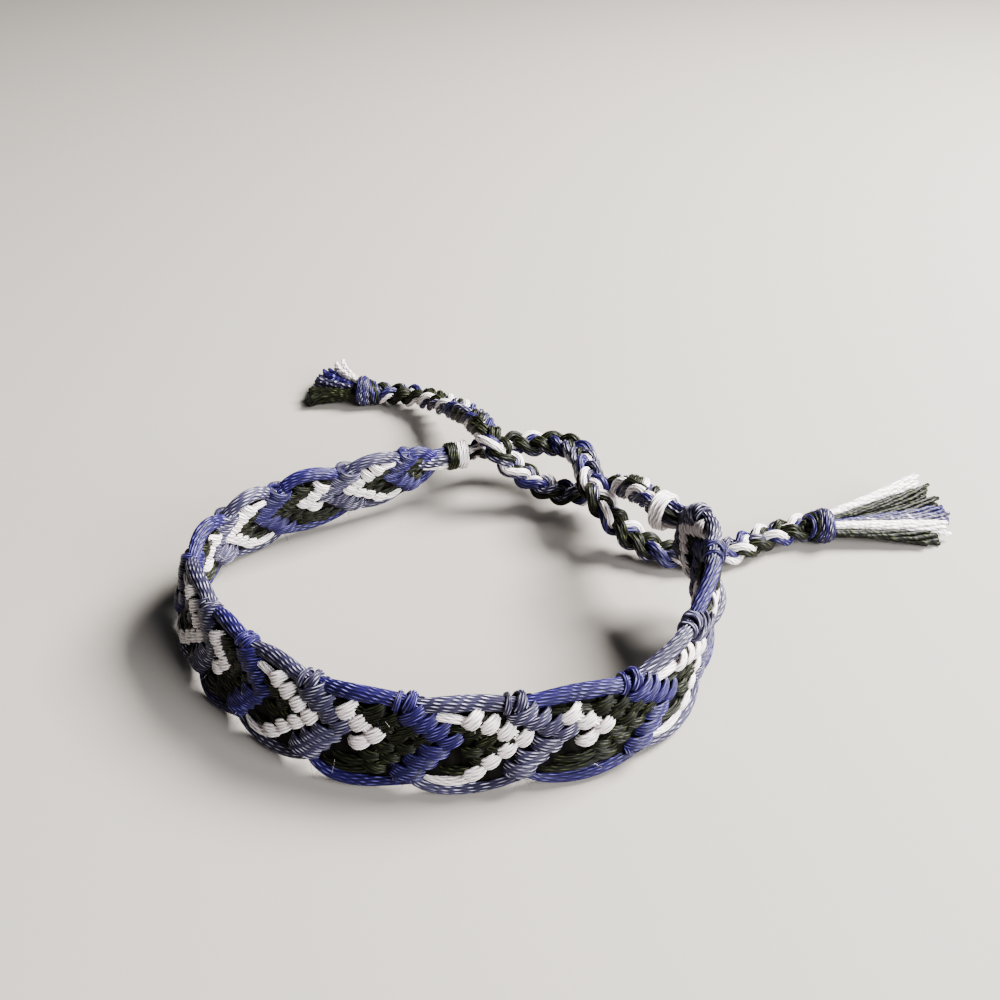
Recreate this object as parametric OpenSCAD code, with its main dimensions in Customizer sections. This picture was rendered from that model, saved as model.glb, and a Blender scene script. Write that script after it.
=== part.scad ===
// Friendship bracelet of ten cotton strings. A knotted chevron band stands on its lower edge
// as a ring that is open at the back, and a braided tie leaves each of its ends. The two ties
// are twisted once round each other, and each ends in a stopper knot and a short cut tassel.
// X runs along the longest side, Y from the front of the ring to the back, and Z points up.
// The left tie leaves the left end of the band and lies out to the right, and the right tie
// leaves the right end of the band and lies out to the back left.

/* [Band] */
// Height of the band from the upper to the lower edge knot
band_height = 11; // [9:0.5:11]
// Thickness of the knotted band
band_thickness = 2.2; // [1.6:0.1:2.4]
// How far an edge float bows out past the line of the edge knots
scallop_rise = 0.6; // [0.2:0.1:0.8]
// How far an edge knot stands proud of the floats beside it
edge_knot_rise = 0.6; // [0:0.1:0.8]

/* [Ends] */
// Diameter of the ten gathered strings where the band ends
neck_d = 2.8; // [2.4:0.1:2.8]
// Width of a wound binding, measured along the strings
binding_width = 1.3; // [1:0.1:1.4]
// Thickness of a wound binding over the gathered strings
binding_wall = 0.9; // [0.5:0.1:1]

/* [Ties] */
// Diameter of one of the three strands of a braid
strand_d = 0.95; // [0.8:0.05:1]
// Length along the braid in which a strand comes back to the same side
plait_length = 8.4; // [8:0.2:10]
// Distance that a strand swings to each side of the braid
braid_swing = 1.25; // [1.1:0.05:1.3]
// Distance that a strand rises and dips through the braid
braid_dip = 0.8; // [0.75:0.05:0.85]

/* [Knots and tassels] */
// Diameter of a stopper knot over its two turns
knot_d = 4.6; // [4:0.2:4.6]
// Length of a stopper knot along the tie
knot_length = 4; // [3:0.2:4]
// Thickness of a lock of cut threads where it leaves the knot
lock_root = 1.3; // [1:0.1:1.4]
// Width that a lock of cut threads spreads to at its cut end
lock_tip = 1.7; // [1:0.1:2]

/* [Hidden] */
// Place of the middle of the whole object, and its lowest point, in the tables below
centre = [-0.48, -2.63, -0.12];
// The band, a row for each junction of its edge floats from the left end to the right end:
// place on the plan, height of its middle, half height, half thickness, lean of the top edge
// into the ring in degrees, share of the scallop, and how far the section is squared off
X = 0;
Y = 1;
Z = 2;
HALF_HEIGHT = 3;
HALF_THICK = 4;
LEAN = 5;
SCALLOP = 6;
SQUARE = 7;
half_float = band_height / 2 - edge_knot_rise;
half_thick = band_thickness / 2;
neck_r = neck_d / 2;
band_rows = [
    [-16.2,   7.7,  6.8, neck_r, neck_r, 0, 0, 0],
    [-18.7,   6.9,  6.8, neck_r, neck_r, 0, 0, 0],
    [-20.8,   5.8,  6.8, neck_r * 1.5, neck_r, 8, 0, 0.3],
    [-24.8,   3.2,  6.8, half_float * 0.76, half_thick, 14, 0.6, 0.8],
    [-32.4,  -0.6,  6.4, half_float * 0.92, half_thick, 16, 0.9, 1],
    [-41.0,  -4.9,  6.0, half_float, half_thick, 17, 1, 1],
    [-47.0, -10.8,  5.9, half_float, half_thick, 17, 1, 1],
    [-49.0, -20.0,  5.9, half_float, half_thick, 16, 1, 1],
    [-44.3, -29.4,  5.9, half_float, half_thick, 16, 1, 1],
    [-38.6, -35.4,  5.9, half_float, half_thick, 17, 1, 1],
    [-30.6, -41.0,  5.9, half_float, half_thick, 17, 1, 1],
    [-20.0, -43.8,  5.9, half_float, half_thick, 14, 1, 1],
    [ -8.9, -43.4,  5.9, half_float, half_thick, 11, 1, 1],
    [  3.1, -39.7,  6.0, half_float, half_thick, 8, 1, 1],
    [  9.9, -31.3,  7.3, half_float, half_thick, 3, 1, 1],
    [ 12.5, -21.6, 10.1, half_float, half_thick, -3, 1, 1],
    [ 11.0, -16.4, 11.9, half_float * 0.76, half_thick * 1.1, -5, 0.5, 0.7],
    [  9.4, -14.3, 12.5, neck_r * 1.2, neck_r, 0, 0, 0.2],
    [  7.9, -12.9, 12.4, neck_r, neck_r, 0, 0, 0]
];
// Sections of the band between two rows, and points round a section
band_steps = 6;
band_sides = 14;

// Route of the left tie, from the end of the band to the middle of its stopper knot
left_tie_route = [
    [-16.0,   7.8,  6.7],
    [-14.5,   9.5,  6.3],
    [-12.5,  11.5,  5.7],
    [-10.0,  12.0,  5.6],
    [ -6.5,  11.5,  6.0],
    [ -3.0,  10.5,  6.6],
    [ -0.5,   7.5,  7.3],
    [  0.5,   2.5,  7.8],
    [  1.0,  -1.5,  7.4],
    [  2.5,  -4.0,  5.8],
    [  4.5,  -5.5,  4.0],
    [  7.0,  -7.0,  2.6],
    [ 10.0,  -8.5,  2.0],
    [ 13.5,  -9.0,  1.8],
    [ 17.0,  -8.5,  1.8],
    [ 20.0,  -7.5,  1.8],
    [ 23.5,  -5.5,  1.8],
    [ 27.0,  -4.0,  1.9],
    [ 29.0,  -3.5,  2.1],
    [ 31.5,  -3.5,  2.4]
];
// Route of the right tie, from the end of the band to the middle of its stopper knot
right_tie_route = [
    [  7.8, -12.7, 12.4],
    [  7.2,  -9.5, 11.6],
    [  6.2,  -5.0,  9.8],
    [  5.0,  -1.0,  7.4],
    [  3.5,   1.5,  5.1],
    [  1.5,   2.5,  3.8],
    [ -1.0,   3.0,  3.2],
    [ -4.0,   3.5,  3.4],
    [ -7.5,   4.5,  4.8],
    [-10.0,   5.0,  6.8],
    [-11.5,   5.5,  8.6],
    [-13.0,   7.5,  9.8],
    [-14.5,  12.5,  8.8],
    [-17.0,  19.5,  6.4],
    [-20.0,  25.0,  4.4],
    [-23.5,  29.5,  3.0],
    [-28.0,  32.0,  2.2],
    [-31.0,  32.8,  2.1],
    [-33.0,  32.8,  2.3]
];
// Sides of a braid's strand, distance between its rings, and clearance at its two ends
strand_sides = 6;
ring_step = 0.84;
neck_gap = 0.8;
end_gap = 0.1;
// The strands leave a neck gathered together, and swing fully after this length
gather_share = 0.75;
gather_length = 5;

// Cut ends of the locks of each tassel, from the uppermost to the lowest
left_tassel_tips = [
    [46.6,  4.6, 4.4],
    [48.3,  3.3, 3.3],
    [49.6,  0.9, 2.4],
    [50.2, -1.2, 1.6],
    [49.2, -3.2, 1.1],
    [46.6, -4.3, 0.9]
];
right_tassel_tips = [
    [-38.4, 40.6, 2.6],
    [-41.0, 39.0, 2.2],
    [-42.6, 37.0, 1.6],
    [-43.2, 34.4, 1.1],
    [-42.8, 32.0, 0.9]
];
// Height of a flattened lock as a share of its width, sides round it, thickness of the
// slices that it is blended through, and how far its bend stands off the straight line
lock_flat = 0.6;
lock_sides = 8;
slice_step = 0.2;
lock_bend = 0.6;
// Width and length of the head that the locks spring from
head_d = 3.4;
head_length = 1;

periwinkle = "#6a70b8";
lavender = "#a9a8c6";
white = "#eee9e6";
army_green = "#3b4129";

// A smooth curve through a list of rows, at u rows from the first
function first_extra(rows) = 2 * rows[0] - rows[1];
function last_extra(rows) = 2 * rows[len(rows) - 1] - rows[len(rows) - 2];
function row_or_extra(rows, i) =
    i < 0 ? first_extra(rows) : i >= len(rows) ? last_extra(rows) : rows[i];
function blend_rows(a, b, c, d, t) =
    0.5 * (2 * b + (c - a) * t + (2 * a - 5 * b + 4 * c - d) * t * t
           + (3 * b - a - 3 * c + d) * t * t * t);
function row_at(rows, u) =
    let (i = min(max(floor(u), 0), len(rows) - 2))
    blend_rows(row_or_extra(rows, i - 1), rows[i], rows[i + 1], row_or_extra(rows, i + 2), u - i);

// Place, direction, outward side and upward side of the curve at u
function place(row) = [row[X], row[Y], row[Z]] - centre;
function unit(v) = v / norm(v);
function along(rows, u) = unit(place(row_at(rows, u + 0.05)) - place(row_at(rows, u - 0.05)));
function side_of(t) = unit(cross(t, [0, 0, 1]));
function up_of(t) = cross(side_of(t), t);

// A closed solid through rings of points, each ring seen clockwise from its start
module skin(rings) {
    n = len(rings[0]);
    last = (len(rings) - 1) * n;
    sides = [
        for (k = [0 : len(rings) - 2], j = [0 : n - 1])
            let (a = k * n + j, b = k * n + (j + 1) % n)
            each [[a, b + n, b], [a, a + n, b + n]]
    ];
    caps = [
        for (j = [1 : n - 2])
            each [[0, j, j + 1], [last, last + j + 1, last + j]]
    ];
    polyhedron(points = [for (ring = rings) each ring], faces = concat(sides, caps));
}

// Section of the band: an oval that squares off into a flat band with round edges
function signed_power(v, p) = sign(v) * pow(abs(v), p);
function squared_oval(half_h, half_t, square) =
    let (p = 1 - 0.5 * square)
    [
        for (j = [0 : band_sides - 1])
            let (a = 360 * (j + 0.5) / band_sides)
            [half_t * signed_power(sin(a), p), half_h * signed_power(cos(a), p)]
    ];
function scallop_at(row, u) =
    let (f = u - floor(u))
    row[SCALLOP] * ((edge_knot_rise + scallop_rise) * sin(180 * f)
                    + (f < 0.01 ? edge_knot_rise : 0));
function band_ring(u) =
    let (
        row = row_at(band_rows, u),
        t = along(band_rows, u),
        out = side_of(t) * cos(row[LEAN]) + up_of(t) * sin(row[LEAN]),
        rise = up_of(t) * cos(row[LEAN]) - side_of(t) * sin(row[LEAN]),
        half_h = row[HALF_HEIGHT] + scallop_at(row, u)
    )
    [
        for (p = squared_oval(half_h, row[HALF_THICK], row[SQUARE]))
            place(row) + out * p[0] + rise * p[1]
    ];

module knotted_band() {
    color(periwinkle)
        skin([for (k = [0 : (len(band_rows) - 1) * band_steps]) band_ring(k / band_steps)]);
}

// Thread wound round the gathered strings, at u rows along the band
module binding(u) {
    t = along(band_rows, u);
    bead_r = binding_wall / 2;
    translate(place(row_at(band_rows, u)))
        rotate([0, acos(t[2]), atan2(t[1], t[0])])
            rotate_extrude($fn = 48)
                translate([neck_r + end_gap / 2 + bead_r, 0]) {
                    square([binding_wall, binding_width - binding_wall], center = true);
                    for (end = [-1, 1])
                        translate([0, end * (binding_width - binding_wall) / 2])
                            circle(bead_r, $fn = 24);
                }
}

module left_green_binding() {
    color(army_green) binding(0.92);
}

module left_white_binding() {
    color(white) binding(0.32);
}

module right_white_binding() {
    color(white) binding(17.62);
}

// Length of a route up to each of its points, and the place on it at a given length
function lengths(route, i = 0, sum = 0) =
    i == len(route) - 1 ? [sum]
    : concat([sum], lengths(route, i + 1, sum + norm(route[i + 1] - route[i])));
function u_at(marks, s, i = 0) =
    i == len(marks) - 2 || s <= marks[i + 1]
    ? i + (s - marks[i]) / (marks[i + 1] - marks[i])
    : u_at(marks, s, i + 1);

// One strand of a braid of three, swept from the neck to the face of the stopper knot
function strand_centre(route, marks, s, turn) =
    let (
        u = u_at(marks, s),
        t = along(route, u),
        share = gather_share + (1 - gather_share) * min(1, s / gather_length),
        phase = 360 * s / plait_length + turn
    )
    place(row_at(route, u)) + share * (side_of(t) * braid_swing * sin(phase)
                                       + up_of(t) * braid_dip * sin(2 * phase));
module tie_strand(route, number) {
    marks = lengths(route);
    start = neck_gap;
    stop = marks[len(marks) - 1] - knot_length / 2 - neck_gap;
    count = ceil((stop - start) / ring_step);
    turn = 120 * number;
    rings = [
        for (k = [0 : count])
            let (
                s = start + (stop - start) * k / count,
                t = unit(strand_centre(route, marks, s + 0.2, turn)
                         - strand_centre(route, marks, s - 0.2, turn))
            )
            [
                for (j = [0 : strand_sides - 1])
                    let (a = 360 * j / strand_sides)
                    strand_centre(route, marks, s, turn)
                    + strand_d / 2 * (side_of(t) * sin(a) + up_of(t) * cos(a))
            ]
    ];
    skin(rings);
}

module left_tie_strand_1() {
    color(periwinkle) tie_strand(left_tie_route, 1);
}

module left_tie_strand_2() {
    color(army_green) tie_strand(left_tie_route, 2);
}

module left_tie_strand_3() {
    color(lavender) tie_strand(left_tie_route, 3);
}

module right_tie_strand_1() {
    color(periwinkle) tie_strand(right_tie_route, 1);
}

module right_tie_strand_2() {
    color(army_green) tie_strand(right_tie_route, 2);
}

module right_tie_strand_3() {
    color(lavender) tie_strand(right_tie_route, 3);
}

// An overhand knot of the whole tie: two fat turns side by side round the strings
module stopper_knot(route) {
    last = len(route) - 1;
    t = along(route, last);
    turn_r = knot_length / 4;
    translate(place(route[last]))
        rotate([0, acos(t[2]), atan2(t[1], t[0])])
            rotate_extrude($fn = 48) {
                for (end = [-1, 1])
                    translate([knot_d / 2 - turn_r, end * turn_r])
                        circle(turn_r, $fn = 32);
                translate([0, -knot_length / 2])
                    square([knot_d / 2 - turn_r, knot_length]);
            }
}

module left_tie_knot() {
    color(periwinkle) stopper_knot(left_tie_route);
}

module right_tie_knot() {
    color(periwinkle) stopper_knot(right_tie_route);
}

// A thin flattened slice across a lock of cut threads, square to the direction t
module lock_slice(spot, t, width) {
    side = side_of(t);
    up = up_of(t);
    multmatrix([
        [side[0], up[0], t[0], spot[0]],
        [side[1], up[1], t[1], spot[1]],
        [side[2], up[2], t[2], spot[2]]
    ])
        linear_extrude(slice_step)
            scale([1, lock_flat])
                circle(width / 2, $fn = lock_sides);
}

// A lock that leaves the head along t, bends, and widens to its cut end
module lock(root, tip, t) {
    middle = (root + tip) / 2 + t * lock_bend;
    hull() {
        lock_slice(root, t, lock_root);
        lock_slice(middle, unit(tip - root), (lock_root + lock_tip) / 2);
    }
    hull() {
        lock_slice(middle, unit(tip - root), (lock_root + lock_tip) / 2);
        lock_slice(tip - unit(tip - middle) * slice_step, unit(tip - middle), lock_tip);
    }
}

// Locks of cut threads fused to a short head that stands on the face of the stopper knot
module tassel(route, tips) {
    last = len(route) - 1;
    t = along(route, last);
    face = place(route[last]) + t * (knot_length / 2 + end_gap);
    spread = 0.8 * (head_d - lock_root);
    hull() {
        lock_slice(face, t, head_d);
        lock_slice(face + t * head_length, t, head_d * 0.9);
    }
    for (k = [0 : len(tips) - 1])
        let (share = k / (len(tips) - 1) - 0.5)
        lock(face + t * (head_length / 2 + 0.1 * share) - side_of(t) * spread * share,
             tips[k] - centre, t);
}

module left_tie_tassel() {
    color(army_green) tassel(left_tie_route, left_tassel_tips);
}

module right_tie_tassel() {
    color(lavender) tassel(right_tie_route, right_tassel_tips);
}

knotted_band();
left_green_binding();
left_white_binding();
right_white_binding();
left_tie_strand_1();
left_tie_strand_2();
left_tie_strand_3();
left_tie_knot();
left_tie_tassel();
right_tie_strand_1();
right_tie_strand_2();
right_tie_strand_3();
right_tie_knot();
right_tie_tassel();
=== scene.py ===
"""Friendship bracelet of ten cotton strings: a knotted chevron band and two braided ties.

Sizes are in millimetres in the tables and turned to metres where meshes are made. The band is
followed by u, which counts the junctions of its edge floats, with v up the band and w outwards.
"""

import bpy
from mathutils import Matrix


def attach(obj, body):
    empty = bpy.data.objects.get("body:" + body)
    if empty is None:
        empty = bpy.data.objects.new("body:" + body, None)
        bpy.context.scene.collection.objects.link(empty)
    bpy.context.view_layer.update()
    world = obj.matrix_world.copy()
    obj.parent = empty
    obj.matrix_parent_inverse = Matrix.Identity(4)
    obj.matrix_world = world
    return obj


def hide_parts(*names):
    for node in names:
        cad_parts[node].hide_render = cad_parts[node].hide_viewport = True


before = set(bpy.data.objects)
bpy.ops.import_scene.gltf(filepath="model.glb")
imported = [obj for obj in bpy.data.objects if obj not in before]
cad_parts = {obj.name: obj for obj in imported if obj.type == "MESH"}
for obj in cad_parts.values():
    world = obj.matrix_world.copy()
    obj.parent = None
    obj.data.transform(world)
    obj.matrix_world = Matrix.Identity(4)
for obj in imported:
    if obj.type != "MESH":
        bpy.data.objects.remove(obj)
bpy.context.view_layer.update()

import logging
import math
import random
from collections import defaultdict
from dataclasses import dataclass, field
from enum import Enum
from functools import lru_cache, partial
from typing import Callable, Iterable

import bmesh
import bpy
import numpy as np
from mathutils import Euler, Vector

LOG = logging.getLogger("bracelet")
MM = 0.001
# Where the tables' numbers have the middle of the model and its floor
CENTRE = np.array([-0.48, -2.63, -0.12])

# Length in which the two plies of a strand turn once
PLY_PITCH = 2.8
# Turns by which the plies of neighbouring strands are out of step, so that no row forms
STAGGER = 0.618


class Shade(Enum):
    """The four colours of floss, named as on a shade card."""
    PERIWINKLE = "periwinkle"
    LAVENDER = "lavender"
    WHITE = "white"
    GREEN = "army_green"

    @property
    def slot(self) -> str:
        """The material slot of the pieces of this shade."""
        return f"{self.value}_floss"


PERIWINKLE, LAVENDER, WHITE, GREEN = Shade

# Place of the band's middle, half height, lean in degrees and share of the scallop, for each
# junction of the edge floats
PLACE, HALF_HEIGHT, LEAN, SCALLOP = slice(3), 3, 4, 5
HALF_FLOAT, HALF_NECK = 4.9, 1.4
BAND_ROWS = np.array([
    [-16.2, 7.7, 6.8, HALF_NECK, 0, 0],
    [-18.7, 6.9, 6.8, HALF_NECK, 0, 0],
    [-20.8, 5.8, 6.8, HALF_NECK * 1.5, 8, 0],
    [-24.8, 3.2, 6.8, HALF_FLOAT * 0.76, 14, 0.6],
    [-32.4, -0.6, 6.4, HALF_FLOAT * 0.92, 16, 0.9],
    [-41.0, -4.9, 6.0, HALF_FLOAT, 17, 1],
    [-47.0, -10.8, 5.9, HALF_FLOAT, 17, 1],
    [-49.0, -20.0, 5.9, HALF_FLOAT, 16, 1],
    [-44.3, -29.4, 5.9, HALF_FLOAT, 16, 1],
    [-38.6, -35.4, 5.9, HALF_FLOAT, 17, 1],
    [-30.6, -41.0, 5.9, HALF_FLOAT, 17, 1],
    [-20.0, -43.8, 5.9, HALF_FLOAT, 14, 1],
    [-8.9, -43.4, 5.9, HALF_FLOAT, 11, 1],
    [3.1, -39.7, 6.0, HALF_FLOAT, 8, 1],
    [9.9, -31.3, 7.3, HALF_FLOAT, 3, 1],
    [12.5, -21.6, 10.1, HALF_FLOAT, -3, 1],
    [11.0, -16.4, 11.9, HALF_FLOAT * 0.76, -5, 0.5],
    [9.4, -14.3, 12.5, HALF_NECK * 1.2, 0, 0],
    [7.9, -12.9, 12.4, HALF_NECK, 0, 0],
])
FIRST_JUNCTION, LAST_JUNCTION = 3, 15
# Length of the band from one junction to the next
JUNCTION_STEP = 9.6

# Middle of each tie's braid, from the band to the stopper knot
LEFT_TIE = np.array([
    [-16.0, 7.8, 6.7], [-14.5, 9.5, 6.3], [-12.5, 11.5, 5.7], [-10.0, 12.0, 5.6],
    [-6.5, 11.5, 6.0], [-3.0, 10.5, 6.6], [-0.5, 7.5, 7.3], [0.5, 2.5, 7.8],
    [1.0, -1.5, 7.4], [2.5, -4.0, 5.8], [4.5, -5.5, 4.0], [7.0, -7.0, 2.6],
    [10.0, -8.5, 2.0], [13.5, -9.0, 1.8], [17.0, -8.5, 1.8], [20.0, -7.5, 1.8],
    [23.5, -5.5, 1.8], [27.0, -4.0, 1.9], [29.0, -3.5, 2.1], [31.5, -3.5, 2.4],
])
RIGHT_TIE = np.array([
    [7.8, -12.7, 12.4], [7.2, -9.5, 11.6], [6.2, -5.0, 9.8], [5.0, -1.0, 7.4],
    [3.5, 1.5, 5.1], [1.5, 2.5, 3.8], [-1.0, 3.0, 3.2], [-4.0, 3.5, 3.4],
    [-7.5, 4.5, 4.8], [-10.0, 5.0, 6.8], [-11.5, 5.5, 8.6], [-13.0, 7.5, 9.8],
    [-14.5, 12.5, 8.8], [-17.0, 19.5, 6.4], [-20.0, 25.0, 4.4], [-23.5, 29.5, 3.0],
    [-28.0, 32.0, 2.2], [-31.0, 32.8, 2.1], [-33.0, 32.8, 2.3],
])
# Where the cut ends of each tassel lie, from the uppermost to the lowest
LEFT_TIPS = np.array([
    [46.6, 4.6, 4.4], [48.3, 3.3, 3.3], [49.6, 0.9, 2.4],
    [50.2, -1.2, 1.6], [49.2, -3.2, 1.1], [46.6, -4.3, 0.9],
])
RIGHT_TIPS = np.array([
    [-38.4, 40.6, 2.6], [-41.0, 39.0, 2.2], [-42.6, 37.0, 1.6],
    [-43.2, 34.4, 1.1], [-42.8, 32.0, 0.9],
])


def unit(v: np.ndarray) -> np.ndarray:
    """Vectors of length one along v, row by row."""
    return v / np.linalg.norm(v, axis=-1, keepdims=True)


def row_at(rows: np.ndarray, u: np.ndarray) -> np.ndarray:
    """A smooth curve through the rows.

    Args:
        rows: one row of numbers for each point.
        u: places on the curve, counted in rows from the first.

    Returns:
        One row of numbers for each place.
    """
    u = np.atleast_1d(np.asarray(u, float))
    padded = np.vstack([2 * rows[0] - rows[1], rows, 2 * rows[-1] - rows[-2]])
    i = np.clip(np.floor(u).astype(int), 0, len(rows) - 2)
    t = (u - i)[:, None]
    a, b, c, d = (padded[i + k] for k in range(4))
    return 0.5 * (2 * b + (c - a) * t + (2 * a - 5 * b + 4 * c - d) * t ** 2
                  + (3 * b - a - 3 * c + d) * t ** 3)


def direction_at(rows: np.ndarray, u: np.ndarray, reach: float = 0.05) -> np.ndarray:
    """Direction of the curve through the rows' places.

    Args:
        rows: one row for each point, its place first.
        u: places on the curve, counted in rows from the first.
        reach: how far ahead and behind the direction is read, in rows.

    Returns:
        One direction for each place.
    """
    return unit(row_at(rows, u + reach)[:, PLACE] - row_at(rows, u - reach)[:, PLACE])


def side_and_up(along: np.ndarray) -> tuple[np.ndarray, np.ndarray]:
    """The level direction square to each row of along, and the one square to both."""
    side = unit(np.cross(along, [0.0, 0.0, 1.0]))
    return side, np.cross(side, along)


def ramp(u: np.ndarray | float, start: float, length: float) -> np.ndarray | float:
    """How far u is through a stretch of that length from start, from 0 to 1."""
    return np.clip((u - start) / length, 0, 1)


@dataclass
class Band:
    """The middle surface of the knotted band.

    Attributes:
        rows: one row for each junction of the edge floats.
    """
    rows: np.ndarray = field(default_factory=lambda: BAND_ROWS)

    def frame(self, u: np.ndarray) -> tuple[np.ndarray, ...]:
        """Place, and direction along, outwards and upwards, at each u."""
        row = row_at(self.rows, u)
        along = direction_at(self.rows, np.asarray(u))
        side, up = side_and_up(along)
        lean = np.radians(row[:, LEAN])[:, None]
        out = side * np.cos(lean) + up * np.sin(lean)
        rise = up * np.cos(lean) - side * np.sin(lean)
        return row[:, PLACE] - CENTRE, along, out, rise

    def frame_at(self, u: float) -> tuple[np.ndarray, ...]:
        """The same at one place."""
        return tuple(a[0] for a in self.frame(np.array([u])))

    def squeeze(self, u: np.ndarray) -> np.ndarray:
        """Height of the band at each u, as a share of its full height."""
        return row_at(self.rows, u)[:, HALF_HEIGHT] / HALF_FLOAT

    def scallop(self, u: np.ndarray) -> np.ndarray:
        """How far the edge floats arch at each u, as a share of the most."""
        return row_at(self.rows, u)[:, SCALLOP]

    def points(self, u: np.ndarray, v: np.ndarray, w: np.ndarray) -> np.ndarray:
        """Places at u along, v up the full-height band and w outwards."""
        place, _, out, rise = self.frame(u)
        squeeze = self.squeeze(u)[:, None]
        return place + rise * (np.asarray(v)[:, None] * squeeze) + out * np.asarray(w)[:, None]


@dataclass(frozen=True)
class Section:
    """The section of a thread, with a lobe for each strand that shows.

    Attributes:
        lobes: number of strands round the section.
        steps: sides to a lobe.
        depth: depth of the groove between two strands, as a share of the radius.
    """
    lobes: int = 6
    steps: int = 4
    depth: float = 0.3

    @property
    def sides(self) -> int:
        """Sides of the whole section."""
        return self.lobes * self.steps

    @property
    def turn(self) -> float:
        """Share of a strand's turn that a lobe shows: half, unless the section is one strand."""
        return 1.0 if self.lobes == 1 else 0.5

    def radii(self) -> np.ndarray:
        """Radius at each corner as a share of the largest: full lobes with narrow grooves."""
        if self.lobes == 1:
            return np.ones(self.sides)
        share = (np.arange(self.sides) % self.steps) / self.steps
        return 1 - self.depth * (1 - np.sin(np.pi * share) ** 0.6)

    def across(self) -> np.ndarray:
        """Where each side starts across its strand, as a share of a turn of the strand."""
        return self.turn * (np.arange(self.sides) % self.steps) / self.steps


# A string drawn tight and one that lies free, the bundle of an edge float, and the looser string
# of the necks and bindings
TIGHT_STRING, FREE_STRING = Section(8, 3, 0.24), Section(8, 4, 0.24)
BUNDLE, LOOSE_STRING = Section(14, 3, 0.17), Section(6, 4, 0.3)
# One cut strand with its two plies, a fibre, and the carrier strings as one
STRAND, FIBRE, CARRIERS = Section(2, 4, 0.12), Section(1, 3), Section(1, 16)


@dataclass(frozen=True)
class Skin:
    """The faces of a tube or ring, each corner labelled by its ring and its side.

    Attributes:
        loops: corner of each loop, face by face.
        starts: first loop of each face.
        ring, side: labels of each corner.
        loop_ring: ring of each loop, counted on past the last where a closed ring meets its start.
        loop_side: 1 for a loop on the further side of its face, else 0.
        face_side: nearer side of the face of each loop.
    """
    loops: np.ndarray
    starts: np.ndarray
    ring: np.ndarray
    side: np.ndarray
    loop_ring: np.ndarray
    loop_side: np.ndarray
    face_side: np.ndarray


@lru_cache(maxsize=None)
def skin(sides: int, rings: int, closed: bool) -> Skin:
    """The faces of a straight tube with capped ends, or of a closed ring.

    Args:
        sides: sides of the section.
        rings: sections along the tube, or round the ring.
        closed: whether the last section joins the first.

    Returns:
        The labelled faces.
    """
    bm = bmesh.new()
    bmesh.ops.create_circle(bm, cap_ends=False, radius=0.25, segments=sides)
    if closed:
        for vert in bm.verts:
            vert.co = Vector((1 + vert.co.x, 0, vert.co.y))
        bmesh.ops.spin(bm, geom=bm.edges[:], cent=(0, 0, 0), axis=(0, 0, 1), dvec=(0, 0, 0),
                       angle=2 * math.pi, steps=rings, use_merge=True)
        co = np.array([v.co[:] for v in bm.verts])
        major = np.arctan2(co[:, 1], co[:, 0])
        ring = np.round(major / (2 * math.pi) * rings).astype(int) % rings
        # Counted downwards, so that a ring's faces point outwards as a tube's do
        angle = np.arctan2(-co[:, 2], np.hypot(co[:, 0], co[:, 1]) - 1)
    else:
        bmesh.ops.spin(bm, geom=bm.edges[:], cent=(0, 0, 0), axis=(0, 0, 1), dvec=(0, 0, 1),
                       angle=0.0, steps=rings - 1, use_merge=False)
        bmesh.ops.holes_fill(bm, edges=[e for e in bm.edges if e.is_boundary], sides=0)
        co = np.array([v.co[:] for v in bm.verts])
        ring = np.round(co[:, 2]).astype(int)
        angle = np.arctan2(co[:, 1], co[:, 0])
    bmesh.ops.recalc_face_normals(bm, faces=bm.faces[:])
    side = np.round((angle - angle[0]) / (2 * math.pi) * sides).astype(int) % sides
    # The operators' own order differs from run to run, so corners and faces are put in order
    order = np.lexsort((side, ring))
    ring, side, rank = ring[order], side[order], np.argsort(order)
    bm.verts.index_update()
    faces = []
    for face in bm.faces:
        index = [int(rank[v.index]) for v in face.verts]
        # A face starts from its first corner, and one of four from a corner on the same diagonal
        first = index.index(min(index[::2] if len(index) == 4 else index))
        faces.append(index[first:] + index[:first])
    bm.free()
    loops, starts, loop_ring, loop_side, face_side = [], [], [], [], []
    for index in sorted(faces):
        starts.append(len(loops))
        js = [side[i] for i in index]
        ks = [ring[i] for i in index]
        cap = len(index) > 4
        low = 0 if cap else sides - 1 if {0, sides - 1} <= set(js) else min(js)
        meets_start = closed and {0, rings - 1} <= set(ks)
        loops += index
        loop_ring += [rings if meets_start and k == 0 else k for k in ks]
        loop_side += [0 if cap or j == low else 1 for j in js]
        face_side += [low] * len(index)
    labels = (loops, starts, ring, side, loop_ring, loop_side, face_side)
    return Skin(*(np.array(a) for a in labels))


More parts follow.
